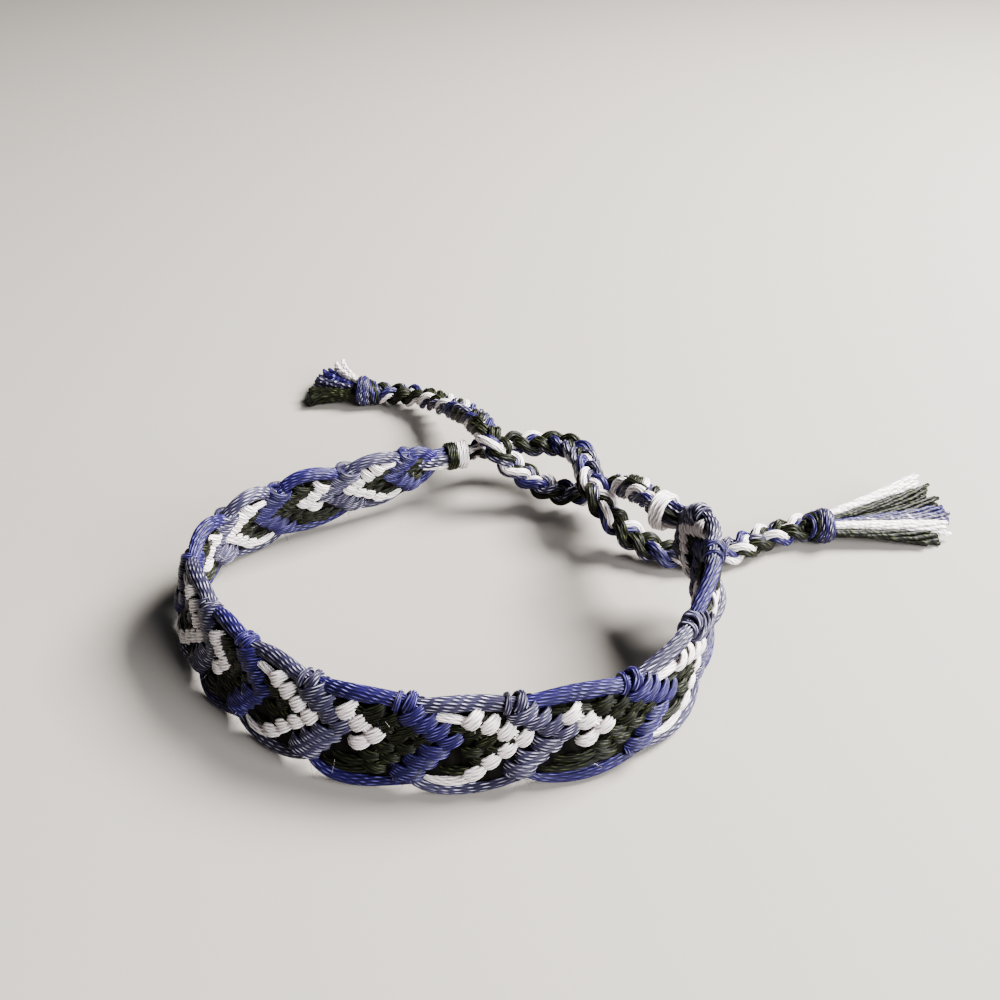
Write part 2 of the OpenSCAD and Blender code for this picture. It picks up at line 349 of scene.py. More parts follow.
class Threads:
    """Threads that are joined into one mesh."""

    def __init__(self) -> None:
        """Starts with no thread."""
        self.co: list[np.ndarray] = []
        self.loops: list[np.ndarray] = []
        self.starts: list[np.ndarray] = []
        self.uv: list[np.ndarray] = []
        self.verts = 0
        self.corners = 0

    def add(self, places: np.ndarray, section: Section, lengths: np.ndarray, closed: bool = False,
            across: np.ndarray | None = None) -> None:
        """Adds one thread.

        Args:
            places: corner places in millimetres, one row of sides for each ring.
            section: the thread's section.
            lengths: length along the thread at each ring, and after the last if it is closed.
            closed: whether the thread is a ring.
            across: where each side starts across its strand, if not as in the section.
        """
        rings, sides = places.shape[:2]
        faces = skin(sides, rings, closed)
        start = section.across() if across is None else across
        u = lengths[faces.loop_ring] / PLY_PITCH + STAGGER * (faces.face_side // section.steps)
        v = start[faces.face_side] + section.turn / section.steps * faces.loop_side
        self.co.append(places[faces.ring, faces.side])
        self.loops.append(faces.loops + self.verts)
        self.starts.append(faces.starts + self.corners)
        self.uv.append(np.stack([u, v], axis=1))
        self.verts += len(faces.ring)
        self.corners += len(faces.loops)

    def rod(self, path: np.ndarray, radius: np.ndarray | float, section: Section,
            twist: float = 0.0, phase: float = 0.0, closed: bool = False) -> None:
        """Adds a thread along a path.

        Args:
            path: places along the middle of the thread.
            radius: radius at each place, or one for all.
            section: the thread's section.
            twist: turns of the section for each millimetre along the path.
            phase: turn of the first section, in turns.
            closed: whether the path's last place joins its first.
        """
        if closed:
            tangent = unit(np.roll(path, -1, axis=0) - np.roll(path, 1, axis=0))
        else:
            tangent = unit(np.gradient(path, axis=0))
        steps = np.linalg.norm(np.diff(np.vstack([path, path[:1]]), axis=0), axis=1)
        lengths = np.concatenate([[0.0], np.cumsum(steps)])
        side = np.empty_like(path)
        guess = np.cross(tangent[0], [0.0, 0.0, 1.0])
        if np.linalg.norm(guess) < 0.2:
            guess = np.cross(tangent[0], [0.0, 1.0, 0.0])
        # Each section's side is the last one's, turned no more than the path turns
        for k, t in enumerate(tangent):
            guess = guess - t * np.dot(guess, t)
            guess = guess / np.linalg.norm(guess)
            side[k] = guess
        up = np.cross(tangent, side)
        if closed:
            twist = round(twist * lengths[-1]) / lengths[-1]
        angle = (2 * np.pi * (np.arange(section.sides) / section.sides)[None, :]
                 + 2 * np.pi * (phase + twist * lengths[:-1])[:, None])
        full = np.broadcast_to(np.asarray(radius, float), (len(path),))
        r = full[:, None] * section.radii()[None, :]
        places = (path[:, None, :] + (r * np.cos(angle))[..., None] * side[:, None, :]
                  + (r * np.sin(angle))[..., None] * up[:, None, :])
        self.add(places, section, lengths if closed else lengths[:-1], closed)

    def mesh(self, name: str, material: bpy.types.Material) -> bpy.types.Object:
        """Makes the joined mesh.

        Args:
            name: the piece's name.
            material: its material.

        Returns:
            The object, at the origin.
        """
        co = np.concatenate(self.co) * MM
        loops = np.concatenate(self.loops)
        starts = np.concatenate(self.starts)
        mesh = bpy.data.meshes.new(name)
        mesh.vertices.add(len(co))
        mesh.vertices.foreach_set("co", co.ravel())
        mesh.loops.add(len(loops))
        mesh.loops.foreach_set("vertex_index", loops.astype(np.int32))
        mesh.polygons.add(len(starts))
        mesh.polygons.foreach_set("loop_start", starts.astype(np.int32))
        mesh.update(calc_edges=True)
        uv = mesh.uv_layers.new(name="UVMap")
        uv.data.foreach_set("uv", np.concatenate(self.uv).astype(np.float32).ravel())
        mesh.polygons.foreach_set("use_smooth", np.ones(len(starts), bool))
        mesh.materials.append(material)
        piece = bpy.data.objects.new(name, mesh)
        bpy.context.scene.collection.objects.link(piece)
        return piece


def join(groups: Iterable[Threads]) -> Threads:
    """Joins several groups of threads into one."""
    whole = Threads()
    for group in groups:
        whole.co += group.co
        whole.uv += group.uv
        whole.loops += [loops + whole.verts for loops in group.loops]
        whole.starts += [starts + whole.corners for starts in group.starts]
        whole.verts += group.verts
        whole.corners += group.corners
    return whole


def linear(colour: str) -> tuple[float, float, float, float]:
    """Turns an sRGB hex colour into linear red, green, blue and alpha."""
    parts = [int(colour[i:i + 2], 16) / 255 for i in (1, 3, 5)]
    turned = [p / 12.92 if p <= 0.04045 else ((p + 0.055) / 1.055) ** 2.4 for p in parts]
    return (turned[0], turned[1], turned[2], 1.0)


AddNode = Callable[..., bpy.types.Node]


def add_node(tree: bpy.types.NodeTree, kind: str, settings: dict | None = None,
             values: dict | None = None, links: dict | None = None) -> bpy.types.Node:
    """Adds a node.

    Args:
        tree: the material's node tree.
        kind: the node's type name after ShaderNode.
        settings: attributes to set on it.
        values: numbers or colours for its inputs, by name or number.
        links: nodes or output sockets to join to its inputs, by name or number. Of a node its
            first output is taken.

    Returns:
        The node.
    """
    node = tree.nodes.new(f"ShaderNode{kind}")
    for key, value in (settings or {}).items():
        setattr(node, key, value)
    for key, value in (values or {}).items():
        node.inputs[key].default_value = value
    for key, source in (links or {}).items():
        socket = source.outputs[0] if isinstance(source, bpy.types.Node) else source
        tree.links.new(socket, node.inputs[key])
    return node


def new_material(name: str) -> tuple[bpy.types.Material, AddNode]:
    """Starts an empty material.

    Args:
        name: its name.

    Returns:
        The material, and add_node for its tree.
    """
    material = bpy.data.materials.new(name)
    material.use_nodes = True
    material.node_tree.nodes.clear()
    return material, partial(add_node, material.node_tree)


# Cells of the noises to a metre: the twist is uneven over about 3 mm, the dye over about 5 mm
UNEVEN_TWIST, DYE_PATCHES = 300.0, 190.0


@dataclass(frozen=True)
class CottonFloss:
    """Mercerised six-strand cotton floss, whose two plies catch the light in short bright dashes,
    painted as highlights.

    Attributes:
        name: name of the shade.
        groove: painted shade, the colour deep between the plies.
        body: colour of the thread in plain light.
        crest: painted highlight, the colour on top of a ply, where the mercerised fibres shine.
        fleck: second colour of a variegated thread.
        fleck_share: how much of the thread has the second colour, from 0 to 1.
        sheen: weight of the soft glow of its fibres.
        specular: strength of its shine.
        roughness: roughness of that shine.
        relief: depth of the grooves between plies, in millimetres.
    """
    name: str
    groove: str
    body: str
    crest: str
    fleck: str
    fleck_share: float
    sheen: float
    specular: float
    roughness: float = 0.42
    relief: float = 0.06

    def material(self) -> bpy.types.Material:
        """Makes the procedural material."""
        material, node = new_material(f"{self.name}_cotton_floss")
        coords = node("TexCoord")
        uneven = node("TexNoise", values={"Scale": UNEVEN_TWIST, "Detail": 1.0},
                      links={"Vector": coords.outputs["Object"]})
        height = self.plies(node, coords, uneven)
        colour = self.dye_and_painted_light(node, coords, uneven, height)
        bump = node("Bump", values={"Strength": 0.9, "Distance": self.relief * MM},
                    links={"Height": height})
        shader = node("BsdfPrincipled",
                      values={"Roughness": self.roughness, "Sheen Weight": self.sheen,
                              "Sheen Roughness": 0.4, "Specular IOR Level": self.specular},
                      links={"Base Color": colour.outputs[2], "Normal": bump})
        node("OutputMaterial", links={"Surface": shader})
        return material

    @staticmethod
    def plies(node: AddNode, coords: bpy.types.Node, uneven: bpy.types.Node) -> bpy.types.Node:
        """Adds the relief of the two plies and their fibres.

        Args:
            node: add_node for the material's tree.
            coords: its texture coordinates. U counts the turns of the plies along a strand, and V
                the turn round the strand.
            uneven: noise that makes the twist uneven.

        Returns:
            The node that gives the height.
        """
        parts = node("SeparateXYZ", links={0: coords.outputs["UV"]})
        along = node("Math", {"operation": "MULTIPLY_ADD"}, {1: 0.9}, {0: uneven, 2: parts})
        # Two plies: crests where a turn of the strand less a turn of the twist is a half turn
        turn = node("Math", {"operation": "SUBTRACT"}, links={0: parts.outputs[1], 1: along})
        angle = node("Math", {"operation": "MULTIPLY"}, {1: 2 * math.pi}, {0: turn})
        wave = node("Math", {"operation": "COSINE"}, links={0: angle})
        crest = node("Math", {"operation": "ABSOLUTE"}, links={0: wave})
        # A strand is round, so a crest fades towards both its sides
        across = node("Math", {"operation": "MULTIPLY"}, {1: 2 * math.pi}, {0: parts.outputs[1]})
        sine = node("Math", {"operation": "SINE"}, links={0: across})
        round_top = node("Math", {"operation": "ABSOLUTE"}, links={0: sine})
        dash = node("Math", {"operation": "MULTIPLY"}, links={0: crest, 1: round_top})
        # Fibres run along the plies. Real ones are too fine to show, so these are coarser
        place = node("CombineXYZ", links={0: parts, 1: turn})
        stretched = node("VectorMath", {"operation": "MULTIPLY"}, {1: (1.5, 14.0, 1.0)}, {0: place})
        fibres = node("TexNoise", values={"Scale": 1.0, "Detail": 3.0}, links={"Vector": stretched})
        return node("Math", {"operation": "MULTIPLY_ADD"}, {1: 0.35}, {0: fibres, 2: dash})

    def dye_and_painted_light(self, node: AddNode, coords: bpy.types.Node, uneven: bpy.types.Node,
             height: bpy.types.Node) -> bpy.types.Node:
        """Adds the colour: painted shade dark in the grooves, painted highlights pale where the
        plies lie open on top.

        Args:
            node: add_node for the material's tree.
            coords: its texture coordinates.
            uneven: noise that makes the twist uneven.
            height: the node that gives the height.

        Returns:
            The node that gives the colour.
        """
        patches = node("TexNoise", values={"Scale": DYE_PATCHES, "Detail": 2.0},
                       links={"Vector": coords.outputs["Object"]})
        share = self.fleck_share
        flecked = node("MapRange", {"clamp": True},
                       {1: 0.62 - 0.3 * share, 2: 0.72 - 0.2 * share,
                        3: 0.0, 4: min(1.0, 1.6 * share)}, {0: patches})
        body = node("Mix", {"data_type": "RGBA"}, {6: linear(self.body), 7: linear(self.fleck)},
                    {0: flecked})
        # Painted shade: the colour goes towards the groove colour where the relief is low, between
        # the plies
        low = node("MapRange", {"clamp": True}, {1: 0.15, 2: 0.6, 3: 0.0, 4: 1.0}, {0: height})
        shaded = node("Mix", {"data_type": "RGBA"}, {6: linear(self.groove)},
                      {0: low, 7: body.outputs[2]})
        # Painted highlight: the colour goes towards the crest colour where the relief is highest
        painted_highlight_mask = node("MapRange", {"clamp": True}, {1: 0.94, 2: 1.16, 3: 0.0, 4: 0.95}, {0: height})
        # The painted highlights are bright where the plies lie open and dull where they lie closed,
        # in patches of the uneven twist
        highlight_patches = node("MapRange", {"clamp": True}, {1: 0.4, 2: 0.6, 3: 0.25, 4: 1.0},
                          {0: uneven})
        bright = node("Math", {"operation": "MULTIPLY"}, links={0: painted_highlight_mask, 1: highlight_patches})
        return node("Mix", {"data_type": "RGBA"}, {7: linear(self.crest)},
                    {0: bright, 6: shaded.outputs[2]})


FLOSS = {
    # Variegated blue violet: painted shade deep between the plies, with painted highlights as pale
    # dashes where they catch the light
    PERIWINKLE: CottonFloss("periwinkle", "#05030f", "#171040", "#6c66b4", "#0c0928",
                            0.5, 0.0, 0.16),
    # Variegated greyish lilac: its painted highlight on the plies is nearly white, so it looks
    # paler than its dye
    LAVENDER: CottonFloss("lavender", "#08070d", "#232035", "#d2cfe8", "#38354e", 0.5, 0.0, 0.16),
    # Warm white: bright all over, so only the painted shade in the grooves between its strands
    # draws it
    WHITE: CottonFloss("warm_white", "#6f6362", "#e2d8d7", "#ffffff", "#c8bdbe", 0.4, 0.3, 0.5),
    # Army green: nearly black painted shade in the grooves, with a dull olive painted highlight on
    # top and hardly any shine
    GREEN: CottonFloss("army_green", "#010100", "#0b0d05", "#3d4227", "#060703", 0.4, 0.0, 0.1),
}
# Carrier strings inside the band, coloured nearly black as painted shade: they only darken the gaps
# between its knots
PAINTED_SHADE_CARRIER = CottonFloss("painted_shade_carrier", "#000000", "#040403", "#0b0b09", "#020202", 0.4, 0.0, 0.03)


@dataclass(frozen=True)
class PalePaint:
    """Matt pale paint on the studio floor: even and dull, so it shows soft shadows alone.

    Attributes:
        name: name of the paint.
        colour: its colour.
        roughness: roughness of its surface.
    """
    name: str = "pale_matt_paint"
    colour: str = "#807b75"
    roughness: float = 0.8

    def material(self) -> bpy.types.Material:
        """Makes the material."""
        material, node = new_material(self.name)
        shader = node("BsdfPrincipled",
                      values={"Base Color": linear(self.colour), "Roughness": self.roughness})
        node("OutputMaterial", links={"Surface": shader})
        return material


class Dye:
    """Hands out one material for each shade, and a nearly black one of painted shade for the
    carrier strings.
    """

    def __init__(self) -> None:
        """Makes the materials."""
        self.materials = {shade: floss.material() for shade, floss in FLOSS.items()}
        self.carrier = PAINTED_SHADE_CARRIER.material()

    def __getitem__(self, shade: Shade) -> bpy.types.Material:
        """The material of a shade."""
        return self.materials[shade]


def fasten(piece: bpy.types.Object, nodes: Iterable[str]) -> None:
    """Fastens a piece to the model.

    Args:
        piece: the piece.
        nodes: the solids that it stands for.
    """
    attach(piece, "root")
    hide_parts(*nodes)
    LOG.info("%s: %d triangles", piece.name, sum(p.loop_total - 2 for p in piece.data.polygons))


def dress(made: dict[Shade, Threads], name: str, node: str, dye: Dye) -> None:
    """Makes a piece of each shade's threads and fastens it.

    Args:
        made: the joined threads of each shade.
        name: the pieces' name, with {} for the shade.
        node: the solid that they stand for.
        dye: the materials.
    """
    for shade, threads in made.items():
        fasten(threads.mesh(name.format(shade.value), dye[shade]), [node])


@dataclass(frozen=True)
class KnotRow:
    """A row of knots in the shape of a V.

    Attributes:
        shade: colour of the two strings that knot.
        centre: place of the middle knot, in junctions after the row of periwinkle begins.
        reach: knots above the middle one.
        low: knots below the middle one.
        back: how far each next knot steps back, in millimetres.
        out: how far each next knot steps out, in millimetres.
        length: length of a wrap across the carrier string.
        proud: how far the row stands out of the others, in millimetres.
        shift: how far its wraps reach back, in millimetres.
        roundness: 1 for round beads, less where the strands lie in an even row.
        slant: slant of a wrap above the middle, in degrees.
        lower_slant: slant of a wrap below it.
        width: width of the wraps of one knot.
    """
    shade: Shade
    centre: float
    reach: int
    low: int
    back: float
    out: float
    length: float
    proud: float = 0.0
    shift: float = 0.0
    roundness: float = 1.0
    slant: float = 20.0
    lower_slant: float = -14.0
    width: float = 1.4


KNOT_ROWS = (
    KnotRow(PERIWINKLE, 0.35, 4, 4, 1.08, 1.12, 2.8, 0.3, 0.4, 0.4),
    KnotRow(GREEN, 0.64, 1, 1, 1.1, 1.15, 2.4),
    KnotRow(GREEN, 0.83, 2, 2, 1.15, 1.12, 2.4),
    KnotRow(WHITE, 0.98, 3, 3, 1.42, 1.05, 2.1, 0.38, 0.1, slant=34.0, lower_slant=26.0, width=1.7),
    KnotRow(LAVENDER, 1.36, 4, 4, 1.08, 1.12, 2.8, 0.25, 0.5, 0.25),
    KnotRow(WHITE, 1.63, 2, 1, 1.35, 1.15, 2.4, 0.4, slant=30.0, lower_slant=12.0, width=1.65),
    KnotRow(GREEN, 1.84, 2, 2, 1.15, 1.12, 2.4),
    KnotRow(GREEN, 2.07, 3, 3, 1.45, 1.08, 2.4),
)
# How much one wrap differs from the next: its lean in degrees, its length and thickness as a
# share, its slope, and its place along and across it in millimetres
LEAN_PLAY, LENGTH_PLAY, THICKNESS_PLAY = 5, 0.05, 0.04
TILT_PLAY, ALONG_PLAY, ACROSS_PLAY = 0.06, 0.07, 0.05
# Column of a full row's last knot, whose strings turn round the edge float there
EDGE_COLUMN = 4
# The upper floats arch up to this u, and run straighter and straighter over the next junctions
ARCHED_TO, STRAIGHTENING = 5.0, 4
# The two wraps of such a knot: place along the band, width, length, slant and strands
EDGE_WRAPS = ((-0.7, 0.8, 1.35, 72, 3), (0.4, 1.4, 1.65, 60, 4))
# Shade of each float inside the edge floats, its first and last u after the junction, and its v
# at the start, in the middle and at the end
AFTER_PERIWINKLE = ((WHITE, 0.06, 0.6, 3.5, 3.8, 2.9), (GREEN, 0.2, 0.6, 2.3, 2.5, 2.3))
AFTER_LAVENDER = ((GREEN, 0.1, 0.66, 3.3, 3.6, 2.9), (GREEN, 0.2, 0.64, 2.3, 2.5, 2.2))
# Direction of the floats inside the lower and the upper edge, their radius where they start, and
# how far they rise out of the band
INNER_SIDES = ((-1, 0.42, 0.7), (1, 0.38, 0.62))
# How far the two layers of strings lie from the middle of a neck
NECK_LAYERS = (0.85, 1.1)
# Where loose fibres leave the band: how far up at its edges, and how far out on its faces
FUZZY_EDGE, FUZZY_FACE = 4.5, 1.0
# Shortest and longest loose fibre, in millimetres
FIBRE_LENGTHS = (0.7, 1.7)


@dataclass(frozen=True)
class GatheredEnd:
    """The ten strings that run from the knots into one neck.

    Attributes:
        shades: their shades, from the lowest in the knots to the uppermost.
        knots_u, neck_u, end_u: where they leave the knots, lie gathered and stop.
        swell: how much wider than at the left end they lie.
    """
    shades: tuple[Shade, ...]
    knots_u: float
    neck_u: float
    end_u: float
    swell: float = 1.0


GATHERED_ENDS = (
    GatheredEnd((GREEN, WHITE, GREEN, GREEN, GREEN, WHITE, LAVENDER, LAVENDER,
                 PERIWINKLE, PERIWINKLE), 3.25, 1.5, 0.0),
    GatheredEnd((GREEN, GREEN, PERIWINKLE, GREEN, WHITE, WHITE, LAVENDER, GREEN,
                 LAVENDER, PERIWINKLE), 15.7, 17.1, 18.0, 1.2),
)


@dataclass
class KnottedBand:
    """The chevron band: its knots, its edge floats and its gathered ends.

    Attributes:
        node: the solid that it stands for.
        wrap_steps: sections round a wrap.
        squareness: power of a wrap's oval, under one for a squarish one.
        crown: how far the middle of a knot bulges.
        crown_fall: share of that bulge that a round bead loses at its outer strands.
        hitch_gap: share of its height that a round bead loses between its two hitches.
        draw_in: share of its width that a round bead loses where it turns over.
        shortening: share of its length by which a round bead's outer strands are shorter.
        bend: how far the forward end of a wrap turns up.
        strand_height: how far a wrap's strands stand out of its grooves.
        underside: how deep the flat underside of a wrap lies.
        apex: how far the tips of the chevrons lie above the middle of the band.
        leg_r, leg_depth: radius of the string that runs under a row, and how far out it lies.
        float_d: thickness of an edge float at its middle.
        upper_level, upper_rise: height of the upper junctions at the back, and how much higher
            they lie at the front.
        float_peak, peak_drop: height of the upper floats' arches at the back, and how much lower
            they are at the front.
        float_dip: how far below the middle the lower floats hang.
        slack_from: u from which the lower floats hang looser.
        slack_drop, slack_out: how much lower and further out they hang there.
        string_r, string_gap: radius of a gathered string, and from one to the next in the knots.
        fibres: how many loose fibres stand out.
        fibre_r: radius of a fibre where it leaves the thread.
        first_u, last_u: where the knots begin and end.
        core_from, core_to: where the carrier strings begin and end.
        core_height, core_depth: their height as a share of the band's, and how far out they lie.
        lower_edge: how far below the middle the lower junctions of two shades lie.
        band: the surface that it is knotted on.
        dice: source of its unevenness.
    """
    node: str = "knotted_band"
    wrap_steps: int = 18
    squareness: float = 0.85
    crown: float = 0.26
    crown_fall: float = 0.75
    hitch_gap: float = 0.4
    draw_in: float = 0.45
    shortening: float = 0.28
    bend: float = 0.5
    strand_height: float = 0.13
    underside: float = 0.2
    apex: float = 1.05
    leg_r: float = 0.6
    leg_depth: float = 0.45
    float_d: float = 1.75
    upper_level: float = 3.1
    upper_rise: float = 1.8
    float_peak: float = 5.7
    peak_drop: float = 0.6
    float_dip: float = 5.15
    slack_from: float = 13.0
    slack_drop: float = 0.7
    slack_out: float = 0.8
    string_r: float = 0.5
    string_gap: float = 0.98
    fibres: int = 420
    fibre_r: float = 0.03
    first_u: float = 2.75
    last_u: float = 16.25
    core_from: float = 2.2
    core_to: float = 16.7
    core_height: float = 0.84
    core_depth: float = 0.62
    lower_edge: dict[Shade, float] = field(
        default_factory=lambda: {PERIWINKLE: 3.9, LAVENDER: 3.35})
    band: Band = field(default_factory=Band)
    dice: random.Random = field(default_factory=lambda: random.Random(7))

    def upper_edge(self, u: np.ndarray | float) -> np.ndarray | float:
        """Height of the upper junctions at u: less at the back, where the floats arch."""
        return self.upper_level + self.upper_rise * ramp(u, ARCHED_TO, STRAIGHTENING)

    def play(self, most: float) -> float:
        """A chance value of up to most in either direction, as knots drawn tight by hand differ."""
        return self.dice.uniform(-most, most)

    def wrap(self, threads: Threads, u: float, v: float, slant: float, length: float,
             width: float, thickness: float, lobes: int = 5, back: float = 0.0,
             roundness: float = 1.0) -> None:
        """Adds the wraps of one knot round the carrier strings, as a closed ring.

        Args:
            threads: mesh that takes it.
            u, v: place of the knot on the band.
            slant: slant on the outer face, in degrees above the band's direction.
            length: length across the carrier.
            width: width of the wrap.
            thickness: thickness of the band at the wrap's grooves.
            lobes: strands that lie side by side in it.
            back: moves it against the band's direction, in millimetres.
            roundness: 1 for a round bead, less where the strands lie in an even row.
        """
        place, along, out, rise = self.band.frame_at(u)
        squeeze = self.band.squeeze(u)[0]
        angle = math.radians(slant + self.play(LEAN_PLAY))
        run = along * math.cos(angle) + rise * math.sin(angle)
        cross = rise * math.cos(angle) - along * math.sin(angle)
        a = length / 2 * (1 + self.play(LENGTH_PLAY)) * (0.4 + 0.6 * squeeze)
        b = thickness / 2 * (1 + self.play(THICKNESS_PLAY))
        tilt = self.play(TILT_PLAY)
        middle = (place + rise * v * squeeze - along * back + run * self.play(ALONG_PLAY)
                  + cross * self.play(ACROSS_PLAY) * squeeze)
        # Its path is a squarish oval, a by b, with the way out of it at each place
        theta = 2 * np.pi * np.arange(self.wrap_steps) / self.wrap_steps
        c, s = np.cos(theta), np.sin(theta)
        px = a * np.sign(c) * np.abs(c) ** self.squareness
        pz = b * np.sign(s) * np.abs(s) ** self.squareness
        slope = np.hypot(c / a, s / b)
        nx, nz = c / a / slope, s / b / slope
        # Its section is a row of strands side by side, closed by a flat underside
        section = Section(lobes, 4)
        share = np.arange(section.sides + 1) / section.sides
        lobe = np.abs(np.sin(np.pi * lobes * share)) ** 0.65
        crown = self.crown * (1 - roundness * self.crown_fall * (1 - np.sin(np.pi * share) ** 0.7))
        # The two hitches of a knot part a little between its middle strands
        gap = np.exp(-((share - 0.5) / 0.05) ** 2)
        part = 1 - self.hitch_gap * roundness * gap if lobes > 4 else 1.0
        width = width * (0.5 + 0.5 * squeeze)
        height = np.concatenate([(crown + self.strand_height * lobe) * part, [-self.underside] * 2])
        across = np.concatenate([(share - 0.5) * width, [width * 0.3, -width * 0.3]])
        # The strands draw together where they turn over to the other face
        spread = (1 - roundness * self.draw_in * (1 - np.abs(s) ** 0.6))[:, None]
        outer = np.concatenate([2 * share - 1, [0.5, -0.5]])[None, :]
        shorter = 1 - self.shortening * roundness * np.abs(outer) ** 2
        bend = self.bend * (1 - 0.5 * roundness) * squeeze * (px / a + 1) ** 2 / 4
        places = (middle[None, None, :]
                  + (px[:, None] * shorter + nx[:, None] * height[None, :])[..., None] * run
                  + (pz[:, None] + nz[:, None] * height[None, :])[..., None] * (out + run * tilt)
                  + (across[None, :] * spread)[..., None] * cross + bend[:, None, None] * rise)
        ring = np.stack([px, pz], axis=1)
        gaps = np.linalg.norm(np.diff(np.vstack([ring, ring[:1]]), axis=0), axis=1)
        lengths = np.concatenate([[0.0], np.cumsum(gaps)]) + self.dice.uniform(0, PLY_PITCH)
        # The flat underside lies at the far side of its strands
        strand_turns = np.concatenate([section.across(), [0.5, 0.5, 0.5]])
        threads.add(places, section, lengths, True, strand_turns)

    def knots(self) -> dict[Shade, Threads]:
        """Makes every knot of the chevrons.

        Returns:
            The joined wraps of each shade.
        """
        made = {shade: Threads() for shade in Shade}
        for first in range(FIRST_JUNCTION - 2, LAST_JUNCTION + 1, 2):
            for row in KNOT_ROWS:
                for column in range(-row.low, row.reach + 1):
                    u = first + row.centre - row.back * abs(column) / JUNCTION_STEP
                    if self.first_u <= u <= self.last_u:
                        self.knot(made[row.shade], row, u, column)
                for upper in (-1, 1):
                    self.leg(made[row.shade], row, first, upper)
        return made

    def bow(self, column: np.ndarray | float) -> np.ndarray | float:
        """How far the chevrons' tips lift a column of knots above its even place."""
        return self.apex * (1 - (column / EDGE_COLUMN) ** 2)

    def knot(self, threads: Threads, row: KnotRow, u: float, column: int) -> None:
        """Adds one knot of two wraps.

        Args:
            threads: mesh that takes it.
            row: the row that it belongs to.
            u: its place along the band.
            column: its column, from the lower edge to the upper one, 0 in the middle.
        """
        upper = 1 if column >= 0 else -1
        if abs(column) == EDGE_COLUMN:
            edge = self.upper_edge(u) if column > 0 else -self.lower_edge[row.shade]
            size = 0.7 + 0.3 * float(ramp(u, ARCHED_TO, STRAIGHTENING)) if upper > 0 else 0.72
            for along, width, length, slant, lobes in EDGE_WRAPS:
                self.wrap(threads, u + along / JUNCTION_STEP, edge - 0.12 * upper, upper * slant,
                          length * size, width, 1.6, lobes)
            return
        slant = row.slant if upper > 0 else row.lower_slant
        width = row.width + (0.18 if upper > 0 else 0.55) * (1 - row.roundness)
        # Below its tip, a chevron of the edge strings lies in long even wraps
        chevron_leg = upper < 0 and row.reach == EDGE_COLUMN
        back = row.shift + (0.45 if chevron_leg else 0.0)
        # The last knot of a shorter row reaches down between the floats
        last_low = column == -3 and row.low == 3
        length = row.length + (0.4 if chevron_leg else 0.6 if last_low else 0.0)
        roundness = row.roundness * (0.2 if chevron_leg else 1.0)
        self.wrap(threads, u, column * row.out + self.bow(column), slant, length, width,
                  1.8 + row.proud, 5, back, roundness)

    def leg(self, threads: Threads, row: KnotRow, first: int, upper: int) -> None:
        """Adds the string that runs from knot to knot under one half of a row, on both faces.

        Args:
            threads: mesh that takes it.
            row: the row that it belongs to.
            first: the junction that the row is placed from.
            upper: 1 for the upper half, -1 for the lower one.
        """
        reach = row.reach if upper > 0 else row.low
        # It goes a little past its last knot, but stops short of the edge
        column = np.linspace(0, min(reach + 0.3, EDGE_COLUMN - 0.3), 12)
        u = first + row.centre - (row.back * column + row.shift) / JUNCTION_STEP
        v = upper * column * row.out + self.bow(column)
        if u.min() < self.first_u or u.max() > self.last_u:
            return
        for face in (-1, 1):
            w = np.full(len(u), face * (self.leg_depth + 0.4 * row.proud))
            threads.rod(self.band.points(u, v, w), self.leg_r, TIGHT_STRING,
                        phase=self.dice.random())

    def upper_float(self, u: np.ndarray, arch: np.ndarray) -> np.ndarray:
        """How high an upper edge float runs: it arches from junction to junction.

        Args:
            u: places along it.
            arch: how far it is from its junctions at each place, from 0 to 1.

        Returns:
            The v of each place.
        """
        level = self.upper_edge(u) - 0.3
        peak = self.float_peak - self.peak_drop * ramp(u, ARCHED_TO + 1, STRAIGHTENING)
        return level + (peak - level) * arch * np.maximum(self.band.scallop(u), 0) ** 0.5

    def lower_float(self, k: int, u: np.ndarray, share: np.ndarray,
                    w: np.ndarray) -> tuple[np.ndarray, np.ndarray]:
        """How a lower edge float hangs: further near the right end, and loose in its last arch.

        Args:
            k: the junction that it starts from.
            u: places along it.
            share: how far along it each place lies, from 0 to 1.
            w: how far outwards each place lies before it hangs.

        Returns:
            The v and w of each place.
        """
        shade, other = self.float_shades(k)
        sag = np.sin(np.pi * share ** 0.72) ** 0.9
        start, end = self.lower_edge[other], self.lower_edge[shade]
        level = start + (end - start) * share
        v = -(level + (self.float_dip - level) * sag * self.band.scallop(u))
        slack = ramp(u, self.slack_from, 1)
        v = v - self.slack_drop * slack * sag
        w = w + self.slack_out * slack * sag
        if k == LAST_JUNCTION:
            # The last one leaves its junction higher up, and swings out on its way to the neck
            v = v + 0.5 * (1 - share) ** 2
            w = w - 0.4 + 2.3 * np.sin(np.pi * share ** 0.85) ** 0.8
        return v, w

    @staticmethod
    def float_shades(k: int) -> tuple[Shade, Shade]:
        """The shade of the edge floats that start from junction k, and of the ones before."""
        return (LAVENDER, PERIWINKLE) if (k - FIRST_JUNCTION) % 2 == 0 else (PERIWINKLE, LAVENDER)

    def edge_floats(self) -> dict[Shade, Threads]:
        """Makes the strings that lie free along both edges, from each junction to the next.

        Returns:
            The joined floats of each shade.
        """
        made = {PERIWINKLE: Threads(), LAVENDER: Threads()}
        share = np.linspace(0, 1, 30)
        arch = np.sin(np.pi * share) ** 0.8
        for k in range(FIRST_JUNCTION - 1, LAST_JUNCTION + 1):
            shade = self.float_shades(k)[0]
